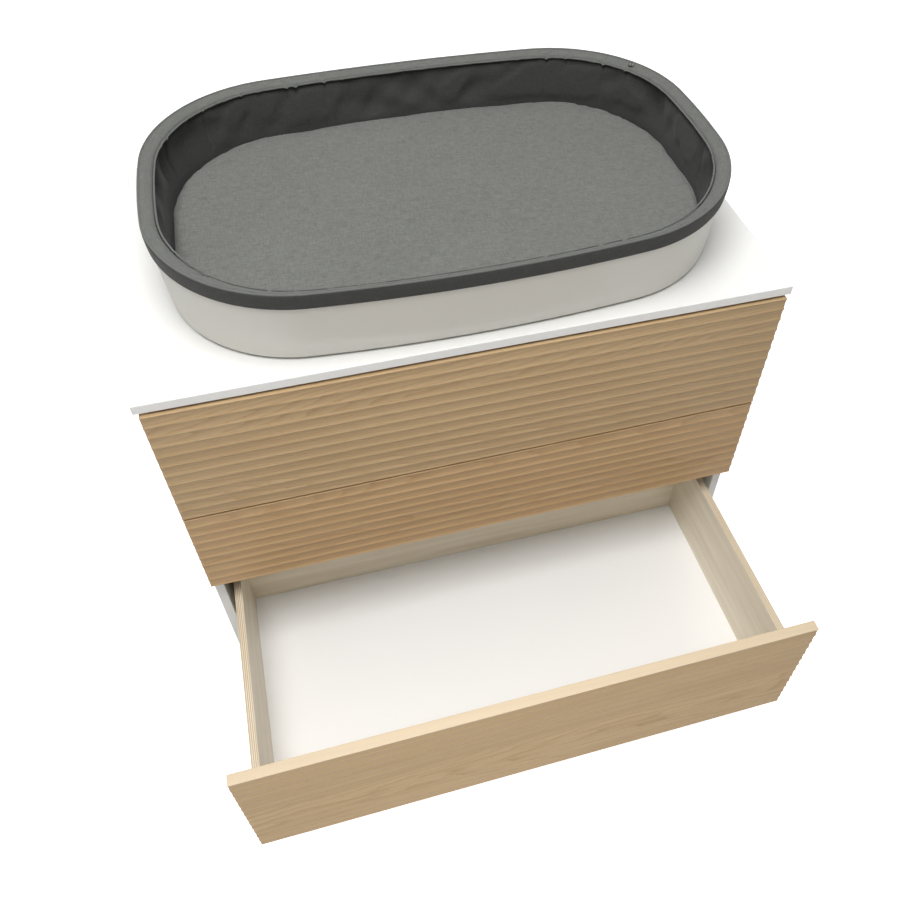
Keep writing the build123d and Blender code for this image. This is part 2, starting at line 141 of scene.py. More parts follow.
def beechWood(name, centre, halfHeight, seed, tone, paintedWarmth, pale):
    material, tree, shader = startMaterial(name, beech["roughness"])
    place = add(tree, "ShaderNodeVectorMath", {0: placeOf(tree), 1: centre}, operation="SUBTRACT").outputs[0]
    axes = add(tree, "ShaderNodeSeparateXYZ", {0: place})
    x = axes.outputs[0]
    y = axes.outputs[1]
    z = axes.outputs[2]
    # each stave of the glued board is cut from another place in the tree
    staveOf = calc(tree, "FLOOR", calc(tree, "DIVIDE", z, beech["stave"]))
    luck = add(tree, "ShaderNodeTexWhiteNoise", {"W": calc(tree, "ADD", staveOf, seed)},
               noise_dimensions="1D")
    chance = add(tree, "ShaderNodeSeparateXYZ", {0: luck.outputs["Color"]})
    slope = between(tree, chance.outputs[0], -0.07, 0.07)
    pithBack = between(tree, chance.outputs[1], 0.02, 0.16)
    pithUp = between(tree, chance.outputs[2], -0.11, 0.11)
    waver = noiseOf(tree, stretched(tree, place, (2.2, 9.0, 9.0), (seed, 0, 0)), 1.0, 3.0)
    depth = calc(tree, "ADD", calc(tree, "ADD", y, pithBack),
                 calc(tree, "ADD", calc(tree, "MULTIPLY", x, slope), between(tree, waver, -0.014, 0.014)))
    height = calc(tree, "ADD", z, pithUp)
    radius = calc(tree, "SQRT", calc(tree, "ADD", calc(tree, "MULTIPLY", depth, depth),
                                     calc(tree, "MULTIPLY", height, height)))
    ragged = noiseOf(tree, stretched(tree, place, (30.0, 160.0, 160.0)), 1.0, 3.0)
    ring = calc(tree, "FRACT", calc(tree, "ADD", calc(tree, "DIVIDE", radius, beech["ringWidth"]),
                                    calc(tree, "MULTIPLY", ragged, 0.5)))
    late = add(tree, "ShaderNodeValToRGB", {0: ring})
    late.color_ramp.interpolation = "B_SPLINE"
    for position, value in ((0.0, 0.1), (0.5, 0.2), (0.82, 0.75), (0.93, 1.0), (1.0, 0.1)):
        stop = late.color_ramp.elements[0] if position == 0.0 else late.color_ramp.elements.new(position)
        stop.position = position
        stop.color = (value, value, value, 1.0)
    broad = noiseOf(tree, stretched(tree, place, (2.4, 20.0, 26.0), (0, seed, 0)), 1.0, 3.0)
    fibre = noiseOf(tree, stretched(tree, place, (9.0, 620.0, 620.0)), 1.0, 2.0)
    share = calc(tree, "MULTIPLY", late.outputs[0], beech["ringDepth"])
    share = calc(tree, "ADD", share, between(tree, broad, -0.28, 0.34))
    share = calc(tree, "ADD", share, between(tree, fibre, -0.12, 0.12))
    wood = blendColour(tree, share, (*beech["light"], 1), (*beech["dark"], 1))
    # short dark rays, a few millimetres long
    ray = noiseOf(tree, stretched(tree, place, (130.0, 700.0, 420.0)), 1.0, 1.0)
    rayMark = add(tree, "ShaderNodeMapRange", {0: ray, 1: 0.66, 2: 0.74, 3: 0.0, 4: beech["fleckDepth"]})
    wood = blendColour(tree, rayMark.outputs[0], wood, (0.33, 0.18, 0.08, 1))
    # each stave's own random tone, plus the per-drawer brightness and warmth, which are painted light
    # standing in for the light that falls on each front
    staveToneAndPaintedLight = calc(tree, "ADD", between(tree, chance.outputs[1], -0.05, 0.05), tone)
    wood = scaled(tree, wood, staveToneAndPaintedLight)
    wood = blendColour(tree, paintedWarmth, wood, (0.52, 0.29, 0.125, 1))
    # the pale planed top edge, switched on per drawer: painted light, kept on the lit bottom front and left
    # off the shaded upper fronts
    planed = calc(tree, "GREATER_THAN", z, halfHeight - 0.0006)
    wood = blendColour(tree, calc(tree, "MULTIPLY", planed, pale), wood, (*beech["edge"], 1))
    colourOf(tree, shader, wood)
    rough = between(tree, fibre, beech["roughness"] - 0.06, beech["roughness"] + 0.08)
    tree.links.new(rough, shader.inputs["Roughness"])
    roughen(tree, shader, fibre, 0.00012, 0.6)
    shader.inputs["Specular IOR Level"].default_value = 0.35
    return material


birch = {
    "face": (0.85, 0.78, 0.64),
    "vein": (0.60, 0.49, 0.33),
    "core": (0.50, 0.36, 0.20),      # end grain of the cross layers
    "glue": (0.27, 0.17, 0.09),
    "layers": 9,
    "roughness": 0.42,
}


def birchPly(name, low, high, across):
    # across is the axis through the sheet's thickness, 0 for X and 1 for Y
    material, tree, shader = startMaterial(name, birch["roughness"])
    place = placeOf(tree)
    axes = add(tree, "ShaderNodeSeparateXYZ", {0: place})
    thickness = high[across] - low[across]
    skin = 0.0002                    # keeps both faces inside the outer layers
    deep = calc(tree, "DIVIDE", calc(tree, "SUBTRACT", axes.outputs[across], low[across] - skin),
                (thickness + 2 * skin) / birch["layers"])
    layer = calc(tree, "FLOOR", deep)
    crossed = calc(tree, "MODULO", layer, 2.0)
    edge = calc(tree, "PINGPONG", deep, 0.5)
    glueLine = add(tree, "ShaderNodeMapRange", {0: edge, 1: 0.03, 2: 0.10, 3: 0.8, 4: 0.0})
    inside = calc(tree, "MULTIPLY", calc(tree, "GREATER_THAN", deep, 0.4),
                  calc(tree, "LESS_THAN", deep, birch["layers"] - 0.4))
    run = (4.0, 60.0, 60.0) if across else (60.0, 4.0, 60.0)
    fine = (12.0, 700.0, 700.0) if across else (700.0, 12.0, 700.0)
    cloud = noiseOf(tree, stretched(tree, place, run), 1.0, 4.0)
    fibre = noiseOf(tree, stretched(tree, place, fine), 1.0, 2.0)
    share = calc(tree, "ADD", between(tree, cloud, -0.35, 0.85), between(tree, fibre, -0.2, 0.2))
    face = blendColour(tree, share, (*birch["face"], 1), (*birch["vein"], 1))
    core = blendColour(tree, noiseOf(tree, place, 900.0), (*birch["core"], 1), (*birch["vein"], 1))
    wood = blendColour(tree, calc(tree, "MULTIPLY", crossed, inside), face, core)
    wood = blendColour(tree, calc(tree, "MULTIPLY", glueLine.outputs[0], inside), wood, (*birch["glue"], 1))
    colourOf(tree, shader, wood)
    roughen(tree, shader, fibre, 0.00006, 0.5)
    shader.inputs["Coat Weight"].default_value = 0.2
    shader.inputs["Coat Roughness"].default_value = 0.3
    return material


def plainWood(name, light, dark, run):
    material, tree, shader = startMaterial(name, 0.55)
    place = placeOf(tree)
    fibre = noiseOf(tree, stretched(tree, place, run), 1.0, 4.0)
    colourOf(tree, shader, blendColour(tree, fibre, (*light, 1), (*dark, 1)))
    roughen(tree, shader, fibre, 0.00015, 0.5)
    return material


def platedMetal(name, colour, roughness, brush):
    material, tree, shader = startMaterial(name, roughness, 1.0)
    place = placeOf(tree)
    streak = noiseOf(tree, stretched(tree, place, brush), 1.0, 3.0)
    tarnish = noiseOf(tree, place, 35.0, 4.0)
    colourOf(tree, shader, scaled(tree, colour, between(tree, tarnish, 0.86, 1.08)))
    tree.links.new(between(tree, streak, roughness - 0.1, roughness + 0.12), shader.inputs["Roughness"])
    roughen(tree, shader, streak, 0.00002, 0.6)
    return material


def mouldedPlastic(name, colour, roughness, grain, depth, coat=0.0):
    material, tree, shader = startMaterial(name, roughness)
    place = placeOf(tree)
    cloud = noiseOf(tree, place, 6.0, 3.0)
    colourOf(tree, shader, scaled(tree, colour, between(tree, cloud, 0.975, 1.02)))
    fine = noiseOf(tree, place, grain, 2.0)
    tree.links.new(between(tree, fine, roughness - 0.05, roughness + 0.06), shader.inputs["Roughness"])
    roughen(tree, shader, fine, depth, 0.6)
    shader.inputs["Coat Weight"].default_value = coat
    shader.inputs["Coat Roughness"].default_value = 0.3
    return material


melange = {"thread": 0.0011, "roughness": 0.88}


def melangeCloth(name, colour, source, slub, weave=0.00025):
    # a plain weave of two-tone yarn: long uneven slubs one way, fainter ones the other
    material, tree, shader = startMaterial(name, melange["roughness"])
    place = placeOf(tree, source)
    axes = add(tree, "ShaderNodeSeparateXYZ", {0: place})
    across = axes.outputs[1]
    if source == "Object":
        across = calc(tree, "ADD", across, axes.outputs[2])
    weft = noiseOf(tree, stretched(tree, place, (60.0, 620.0, 620.0)), 1.0, 3.0, 0.6)
    warp = noiseOf(tree, stretched(tree, place, (620.0, 70.0, 70.0)), 1.0, 3.0, 0.6)
    long = noiseOf(tree, stretched(tree, place, (12.0, 260.0, 260.0)), 1.0, 2.0)
    cloud = noiseOf(tree, place, 9.0, 3.0)
    tone = calc(tree, "ADD", between(tree, weft, 1 - 1.6 * slub, 1 + 1.6 * slub),
                between(tree, warp, -1.3 * slub, 1.3 * slub))
    tone = calc(tree, "ADD", tone, between(tree, long, -0.35 * slub, 0.35 * slub))
    tone = calc(tree, "ADD", tone, between(tree, cloud, -0.06, 0.06))
    colourOf(tree, shader, scaled(tree, colour, tone))
    turn = 2 * math.pi / melange["thread"]
    over = calc(tree, "SINE", calc(tree, "MULTIPLY", axes.outputs[0], turn))
    under = calc(tree, "SINE", calc(tree, "MULTIPLY", across, turn))
    threads = calc(tree, "MULTIPLY", over, under)
    relief = calc(tree, "ADD", calc(tree, "MULTIPLY", threads, 0.25), calc(tree, "ADD", weft, warp))
    roughen(tree, shader, relief, weave, 0.7)
    shader.inputs["Sheen Weight"].default_value = 0.12
    shader.inputs["Sheen Roughness"].default_value = 0.5
    shader.inputs["Specular IOR Level"].default_value = 0.2
    return material


finish = {
    "whiteBoard": whiteLacquer("white lacquer", **lacquer),
    "backBoard": whiteLacquer("white hardboard", (0.80, 0.795, 0.77), 0.5, 0.00006),
    "sheet": whiteLacquer("white drawer sheet", (0.86, 0.86, 0.85), 0.42, 0.00005),
    "dowel": plainWood("raw dowel", (0.66, 0.48, 0.30), (0.50, 0.34, 0.19), (40.0, 900.0, 900.0)),
    "legWood": plainWood("oiled leg", (0.68, 0.50, 0.31), (0.50, 0.33, 0.18), (300.0, 300.0, 12.0)),
    "runner": platedMetal("zinc plated runner", (0.66, 0.67, 0.68), 0.34, (6.0, 500.0, 500.0)),
    "screw": platedMetal("zinc plated screw", (0.62, 0.62, 0.60), 0.38, (300.0, 300.0, 300.0)),
    "cam": platedMetal("cast zinc", (0.60, 0.60, 0.61), 0.48, (500.0, 500.0, 500.0)),
    "plate": mouldedPlastic("black powder coat", (0.028, 0.028, 0.03), 0.55, 900.0, 0.00008),
    "glide": mouldedPlastic("glide plastic", (0.72, 0.72, 0.69), 0.5, 500.0, 0.00004),
    "tray": mouldedPlastic("tray plastic", (0.655, 0.637, 0.578), 0.34, 260.0, 0.00003, 0.1),
    "rubber": mouldedPlastic("pad rubber", (0.045, 0.045, 0.047), 0.8, 700.0, 0.00008),
    "nickel": platedMetal("brushed nickel", (0.72, 0.71, 0.69), 0.26, (200.0, 900.0, 900.0)),
    "mattress": melangeCloth("mattress cloth", (0.136, 0.139, 0.129), "Object", 0.28),
    "rim": melangeCloth("rim cloth", (0.124, 0.127, 0.118), "UV", 0.22),
    # painted shade: the lining wall is the same mélange as the mattress, drawn much darker to stand in for
    # the shade inside the tray
    "wall": melangeCloth("lining cloth with painted shade", (0.049, 0.050, 0.047), "UV", 0.22),
    "band": melangeCloth("band cloth", (0.050, 0.050, 0.046), "UV", 0.22),
    "thread": melangeCloth("sewing thread", (0.13, 0.135, 0.128), "Object", 0.1, 0.0001),
    "zipTeeth": mouldedPlastic("zip coil", (0.03, 0.03, 0.03), 0.4, 900.0, 0.00003),
}
slotFinish = {
    "white_board": "whiteBoard", "back_board": "backBoard", "dowel_wood": "dowel",
    "drawer_sheet": "sheet", "runner_steel": "runner", "screw_steel": "screw", "cam_zinc": "cam",
    "plate_steel": "plate", "glide_plastic": "glide", "tray_white": "tray", "pad_rubber": "rubber",
    "zip_metal": "nickel", "beech": "legWood",
}
for nodeName, piece in nodes.items():
    slotName = piece.data.materials[0].name.split(".")[0] if piece.data.materials else ""
    if slotName in slotFinish:
        piece.data.materials[0] = finish[slotFinish[slotName]]
    elif slotName == "birch_ply":
        low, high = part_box(nodeName)
        across = 0 if high.x - low.x < high.y - low.y else 1
        piece.data.materials[0] = birchPly("birch " + nodeName.replace("_", " "), low, high, across)
print("finishes made")


# Geometry trees

def geometryTree(name, inputs):
    tree = bpy.data.node_groups.new(name, "GeometryNodeTree")
    tree.interface.new_socket("Geometry", in_out="INPUT", socket_type="NodeSocketGeometry")
    for label, kind, value in inputs:
        socket = tree.interface.new_socket(label, in_out="INPUT", socket_type="NodeSocket" + kind)
        if value is not None:
            socket.default_value = value
    tree.interface.new_socket("Geometry", in_out="OUTPUT", socket_type="NodeSocketGeometry")
    start = tree.nodes.new("NodeGroupInput")
    return tree, start.outputs


def endTree(tree, geometry, material):
    whole = add(tree, "GeometryNodeRealizeInstances", {"Geometry": geometry})
    painted = add(tree, "GeometryNodeSetMaterial", {"Geometry": whole.outputs[0], "Material": material})
    add(tree, "NodeGroupOutput", {0: painted.outputs[0]})


def plainMesh(source, name, smoothAngle=None):
    # the evaluated shape as a mesh of its own, with no modifiers left
    depsgraph = bpy.context.evaluated_depsgraph_get()
    mesh = bpy.data.meshes.new_from_object(source.evaluated_get(depsgraph), depsgraph=depsgraph)
    mesh.name = name
    piece = bpy.data.objects.new(name, mesh)
    bpy.context.scene.collection.objects.link(piece)
    bpy.data.objects.remove(source)
    if smoothAngle is not None:
        mesh.shade_smooth()
        mesh.set_sharp_from_angle(angle=math.radians(smoothAngle))
    return piece


def meshObject(name, points, edges, faces):
    mesh = bpy.data.meshes.new(name)
    mesh.from_pydata(points, edges, faces)
    mesh.validate()
    piece = bpy.data.objects.new(name, mesh)
    bpy.context.scene.collection.objects.link(piece)
    return piece


def grow(source, tree, values, name):
    modifier = source.modifiers.new("grow", "NODES")
    modifier.node_group = tree
    for socket in tree.interface.items_tree:
        if socket.in_out == "INPUT" and socket.name in values:
            modifier[socket.identifier] = values[socket.name]
    return plainMesh(source, name)


def facingOut(piece):
    work = bmesh.new()
    work.from_mesh(piece.data)
    bmesh.ops.recalc_face_normals(work, faces=work.faces)
    work.to_mesh(piece.data)
    work.free()


# Drawer fronts: a board with milled concave flutes along it

drawerFront = {
    "Pitch": 0.02125,
    "Depth": 0.0020,
    "Land": 0.0007,
    "corner": 0.0014,       # rounding of the long edges
    "end": 0.0007,          # rounding round the two ends
    "step": 0.0011,         # spacing of points up the front
    "hollow": 2.8,          # a higher power gives a flatter hollow and a sharper ridge
    "smooth": 40,           # edges sharper than this many degrees stay crisp
}
frontSeedAndPaintedLight = {      # seed, then painted light: a brightness and a warmth per drawer that stand in for the light on each front, the bottom front lit most from the floor, and how pale the top edge is, kept only on that lit bottom front
    "top": (3.0, 1.0, 0.06, 0.0),
    "middle": (11.0, 1.13, 0.30, 0.0),
    "bottom": (23.0, 1.27, 0.0, 0.8),
}


def flutedTree():
    tree, given = geometryTree("flutedBoard", [
        ("Width", "Float", 0.9), ("Face", "Float", 0.0), ("Low", "Float", 0.0), ("Pitch", "Float", 0.02),
        ("Depth", "Float", 0.002), ("Land", "Float", 0.001), ("Material", "Material", None)])
    axes = add(tree, "ShaderNodeSeparateXYZ", {0: add(tree, "GeometryNodeInputPosition").outputs[0]})
    rise = calc(tree, "SUBTRACT", axes.outputs[2], given["Low"])
    turn = calc(tree, "FRACT", calc(tree, "DIVIDE", rise, given["Pitch"]))
    off = calc(tree, "ABSOLUTE", calc(tree, "SUBTRACT", calc(tree, "MULTIPLY", turn, 2.0), 1.0))
    openShare = calc(tree, "SUBTRACT", 1.0, calc(tree, "DIVIDE", given["Land"], given["Pitch"]))
    off = calc(tree, "MINIMUM", calc(tree, "DIVIDE", off, openShare), 1.0)
    hollow = calc(tree, "SUBTRACT", 1.0, calc(tree, "POWER", off, drawerFront["hollow"]))
    cut = calc(tree, "MULTIPLY", given["Depth"], hollow)
    y = calc(tree, "MAXIMUM", axes.outputs[1], calc(tree, "ADD", given["Face"], cut))
    place = add(tree, "ShaderNodeCombineXYZ", {0: axes.outputs[0], 1: y, 2: axes.outputs[2]})
    section = add(tree, "GeometryNodeSetPosition", {"Geometry": given["Geometry"],
                                                    "Position": place.outputs[0]})
    way = add(tree, "ShaderNodeCombineXYZ", {0: given["Width"]})
    pulled = add(tree, "GeometryNodeExtrudeMesh", {"Mesh": section.outputs[0], "Offset": way.outputs[0],
                                                   "Individual": False})
    other = add(tree, "GeometryNodeFlipFaces", {"Mesh": section.outputs[0]})
    both = add(tree, "GeometryNodeJoinGeometry")
    tree.links.new(pulled.outputs[0], both.inputs[0])
    tree.links.new(other.outputs[0], both.inputs[0])
    whole = add(tree, "GeometryNodeMergeByDistance", {"Geometry": both.outputs[0], "Distance": 0.00001})
    endTree(tree, whole.outputs[0], given["Material"])
    return tree


def boardOutline(low, high):
    # the board's section, front edge up, over the top and down the back
    radius = drawerFront["corner"]
    count = round((high.z - low.z - 2 * radius) / drawerFront["step"])
    outline = []
    for i in range(count + 1):
        outline.append((low.y, low.z + radius + (high.z - low.z - 2 * radius) * i / count))
    corners = (((low.y + radius, high.z - radius), 180), ((high.y - radius, high.z - radius), 90),
               ((high.y - radius, low.z + radius), 0), ((low.y + radius, low.z + radius), -90))
    for (y, z), start in corners:
        for i in range(7):
            angle = math.radians(start - 15 * i)
            point = (y + radius * math.cos(angle), z + radius * math.sin(angle))
            if math.dist(point, outline[-1]) > 0.00001 and math.dist(point, outline[0]) > 0.00001:
                outline.append(point)
    return outline


def makeFront(drawer, tree):
    nodeName = f"drawer_{drawer}_front"
    low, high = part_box(nodeName)
    outline = boardOutline(low, high)
    section = meshObject("section", [(low.x, y, z) for y, z in outline], [], [range(len(outline))])
    looks = frontSeedAndPaintedLight[drawer]
    middle = (low + high) / 2
    wood = beechWood(f"beech {drawer} front", middle, (high.z - low.z) / 2, *looks)
    values = {"Width": high.x - low.x, "Face": low.y, "Low": low.z, "Material": wood}
    values.update({key: drawerFront[key] for key in ("Pitch", "Depth", "Land")})
    board = grow(section, tree, values, "board")
    facingOut(board)
    bevel = board.modifiers.new("ends", "BEVEL")
    bevel.width = drawerFront["end"]
    bevel.segments = 2
    bevel.limit_method = "ANGLE"
    bevel.angle_limit = math.radians(60)
    front = plainMesh(board, f"fluted_front_{drawer}", drawerFront["smooth"])
    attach(front, f"drawer_{drawer}")
    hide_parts(nodeName)


fluted = flutedTree()
for drawer in frontSeedAndPaintedLight:
    makeFront(drawer, fluted)
print("drawer fronts made")


# The tray's outline: eight arcs that run smoothly into each other

oval = {
    "side": 5.8,            # radius of the long sides over the half length
    "end": 4.4,             # radius of the ends over the half depth
    "corner": 0.755,        # radius of the corners over the half depth
    "steps": (18, 120, 60),  # points along a half end, a corner and a half side
}
linerLow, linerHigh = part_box("tray_liner")
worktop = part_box("top_panel")[1].z
tray = {
    "half": Vector(((linerHigh.x - linerLow.x) / 2, (linerHigh.y - linerLow.y) / 2)),
    "middle": Vector(((linerHigh.x + linerLow.x) / 2, (linerHigh.y + linerLow.y) / 2)),
    "height": 0.136,        # rim above the worktop, at the middle of the long sides
    "saddle": 0.005,        # how much higher the rim is at its ends
    "reach": 0.460,         # distance from the middle where that rise is reached
    "footIn": Vector((0.008, 0.025)),
    "cover": 0.0025,        # cloth over the shell's rim
    "wall": 0.005,
}


def quarter(halfLength, halfDepth):
    sideRadius = oval["side"] * halfLength
    endRadius = oval["end"] * halfDepth
    cornerRadius = oval["corner"] * halfDepth
    sideCentre = Vector((0, halfDepth - sideRadius))
    endCentre = Vector((halfLength - endRadius, 0))
    line = endCentre - sideCentre
    toSide = sideRadius - cornerRadius
    toEnd = endRadius - cornerRadius
    along = (line.length_squared + toSide ** 2 - toEnd ** 2) / (2 * line.length)
    out = math.sqrt(toSide ** 2 - along ** 2)
    step = line.normalized()
    corner = sideCentre + step * along + Vector((step.y, -step.x)) * out
    endTurn = math.atan2(corner.y - endCentre.y, corner.x - endCentre.x)
    sideTurn = math.atan2(corner.y - sideCentre.y, corner.x - sideCentre.x)
    arcs = ((endCentre, endRadius, 0.0, endTurn), (corner, cornerRadius, endTurn, sideTurn),
            (sideCentre, sideRadius, sideTurn, math.pi / 2))
    points = []
    for (centre, radius, start, stop), steps in zip(arcs, oval["steps"]):
        for i in range(steps):
            angle = start + (stop - start) * i / steps
            normal = Vector((math.cos(angle), math.sin(angle)))
            points.append((centre + normal * radius, normal))
    points.append((Vector((0, halfDepth)), Vector((0, 1))))
    return points


def ovalRing(half):
    # points and outward directions, from the right-hand end round by the back
    first = quarter(half[0], half[1])
    ring = list(first)
    for point, normal in reversed(first[:-1]):
        ring.append((Vector((-point.x, point.y)), Vector((-normal.x, normal.y))))
    for point, normal in first[1:]:
        ring.append((Vector((-point.x, -point.y)), Vector((-normal.x, -normal.y))))
    for point, normal in reversed(first[1:-1]):
        ring.append((Vector((point.x, -point.y)), Vector((normal.x, -normal.y))))
    return ring


def rimRise(x):
    return tray["saddle"] * (x / tray["reach"]) ** 2


def ringPoints(half, height, out=0.0, rising=True):
    # one ring of the tray at a height above the worktop, moved out by a distance
    points = []
    for point, normal in ovalRing(half):
        place = point + normal * out
        lift = rimRise(point.x) * height / tray["height"] if rising else 0.0
        points.append(Vector((tray["middle"].x + place.x, tray["middle"].y + place.y,
                              worktop + height + lift)))
    return points


def shellHalf(height, inset=0.0):
    rim = tray["height"] - tray["cover"]
    lean = 1 - height / rim
    return tray["half"] - Vector((1, 1)) * (tray["cover"] + inset) - tray["footIn"] * lean


def ringMesh(name, rows, closed, slots=None):
    # a skin over rings of equal length, with its lengths in metres as its UV map
    count = len(rows[0])
    points = [point for row in rows for point in row]
    faces = []
    spans = len(rows) if closed else len(rows) - 1
    for r in range(spans):
        below = r * count
        above = ((r + 1) % len(rows)) * count
        for i in range(count):
            j = (i + 1) % count
            faces.append((below + i, below + j, above + j, above + i))
    piece = meshObject(name, points, [], faces)
    mesh = piece.data
    girth = [0.0]
    for i in range(count):
        girth.append(girth[-1] + (rows[0][(i + 1) % count] - rows[0][i]).length)
    climb = [0.0]
    for r in range(spans):
        climb.append(climb[-1] + (rows[(r + 1) % len(rows)][0] - rows[r][0]).length)
    layer = mesh.uv_layers.new(name="UVMap")
    for face in mesh.polygons:
        r, i = divmod(face.index, count)
        corners = ((i, r), (i + 1, r), (i + 1, r + 1), (i, r + 1))
        for loop, (u, v) in zip(face.loop_indices, corners):
            layer.data[loop].uv = (girth[u], climb[v])
        if slots:
            face.material_index = slots[r]
    mesh.shade_smooth()
    return piece


# Tray shell: a leaning wall with a rounded foot and rim

shell = {"foot": 0.0045, "rim": 0.0022, "rows": 8}


def makeShell():
    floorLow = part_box("tray_shell")[0].z - worktop
    top = tray["height"] - tray["cover"]
    rows = []
    for i in range(7):
        angle = math.radians(90 * i / 6)
        height = floorLow + shell["foot"] * (1 - math.sin(angle))
        inset = shell["foot"] * (1 - math.cos(angle))
        rows.insert(0, ringPoints(shellHalf(height, inset), height))
    for i in range(1, shell["rows"]):
        climb = (top - shell["rim"] - floorLow - shell["foot"]) * i / shell["rows"]
        height = floorLow + shell["foot"] + climb
        rows.append(ringPoints(shellHalf(height), height))
    for i in range(9):
        angle = math.radians(180 * i / 8)
        height = top - shell["rim"] * (1 - math.sin(angle))
        inset = tray["wall"] / 2 * (1 - math.cos(angle))
        rows.append(ringPoints(shellHalf(height, inset), height))
    for i in range(1, 5):
        height = top - shell["rim"] - (top - shell["rim"] - floorLow) * i / 4
        rows.append(ringPoints(shellHalf(height, tray["wall"]), height))
    piece = ringMesh("moulded_shell", rows, True)
    facingOut(piece)
    piece.data.materials.append(finish["tray"])
    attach(piece, "tray")
    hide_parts("tray_shell")


makeShell()
print("tray shell made")


# Tray liner: a dark band outside, a padded rim, a zip and the soft inner wall

liner = {
    "band": 0.0265,
    "wellLow": Vector((0.416, 0.265)),
    "wellHigh": Vector((0.418, 0.278)),
    "wellFloor": 0.008,
    "hem": 0.030,            # how far the cloth runs in under the mattress
    "frontDrop": 0.0095,     # how far the rim's inner edge sags along the front
    "drop": 0.0040,
    "wrinkle": 0.0110,
    "pleat": 0.0042,         # depth of the small gathers where the rim turns
    "pleatEvery": 0.034,
    "wallRows": 30,
}


def rimDrop(normal):
    front = max(0.0, min(1.0, (-normal.y - 0.35) / 0.55))
    front = front * front * (3 - 2 * front)
    return liner["drop"] + (liner["frontDrop"] - liner["drop"]) * front


def gathers(point):
    # narrow notches across the rim, where the cloth is eased round the corners
    turn = math.atan2(point.y * 1.2, point.x)
    along = turn * 0.42 / liner["pleatEvery"]
    cell = math.floor(along)
    depth = 0.0
    for near in (cell - 1, cell, cell + 1):
        luck = noise.cell_vector(Vector((near + 0.5, 7.0, 2.0)))
        middle = near + 0.15 + 0.7 * luck.x
        width = 0.035 + 0.06 * luck.y
        strong = max(0.0, luck.z - 0.25) / 0.75
        depth += strong * math.exp(-((along - middle) / width) ** 2)
    corner = min(1.0, max(0.0, (abs(math.sin(2 * turn)) - 0.25) / 0.4))
    return depth * corner * liner["pleat"]


def rimRing(inset, height, dropShare=0.0, pucker=0.0):
    # a ring near the rim: inset from the outside, with its share of the sag and small puckers
    half = tray["half"] - Vector((inset, inset))
    points = []
    for point, normal in ovalRing(half):
        around = noise.noise(Vector((point.x * 38, point.y * 38, 3.0)))
        fine = noise.noise(Vector((point.x * 95, point.y * 95, 9.0)))
        lift = rimRise(point.x) - rimDrop(normal) * dropShare + pucker * (0.7 * around + 0.5 * fine)
        lift -= gathers(point) * dropShare
        points.append(Vector((tray["middle"].x + point.x, tray["middle"].y + point.y,
                              worktop + height + lift)))
    return points


def bandHalf(height):
    lean = (tray["height"] - height) / liner["band"]
    return tray["half"] - Vector((0.001, 0.0035)) * lean


def wallRing(share):
    # a ring of the inner wall: share runs from 0 at the zip to 1 at the floor
    top = tray["height"] - 0.004
    height = top + (liner["wellFloor"] - top) * share
    lean = (height - liner["wellFloor"]) / (tray["height"] - liner["wellFloor"])
    half = liner["wellLow"] + (liner["wellHigh"] - liner["wellLow"]) * lean
    points = []
    for point, normal in ovalRing(half):
        lift = rimRise(point.x) * (1 - share) - rimDrop(normal) * (1 - share) ** 3
        # upright folds that fade at both seams, and finer puckers under the zip
        along = math.atan2(point.y, point.x)
        sway = 0.10 * noise.noise(Vector((point.x * 6, point.y * 6, share * 2.2)))
        fold = noise.noise(Vector((point.x * 13 + sway * 8, point.y * 13, share * 1.3 + 4)))
        slant = noise.noise(Vector((point.x * 24 + share * 1.6, point.y * 24 - share * 1.1, 11.0)))
        fine = noise.noise(Vector((point.x * 60, point.y * 60, share * 4.0 + along)))
        belly = math.sin(math.pi * min(1.0, share * 1.6)) if share < 0.62 else 0.0
        seam = math.exp(-share / 0.10)
        depth = belly * (fold * 0.9 + slant * 0.6) * liner["wrinkle"]
        depth += seam * (fine * 0.0026 + gathers(point)) + belly * (fine * 0.0012 + gathers(point))
        depth = max(-0.0026, depth)
        place = point + normal * (depth + 0.0012)
        points.append(Vector((tray["middle"].x + place.x, tray["middle"].y + place.y,
                              worktop + height + lift)))
    return points


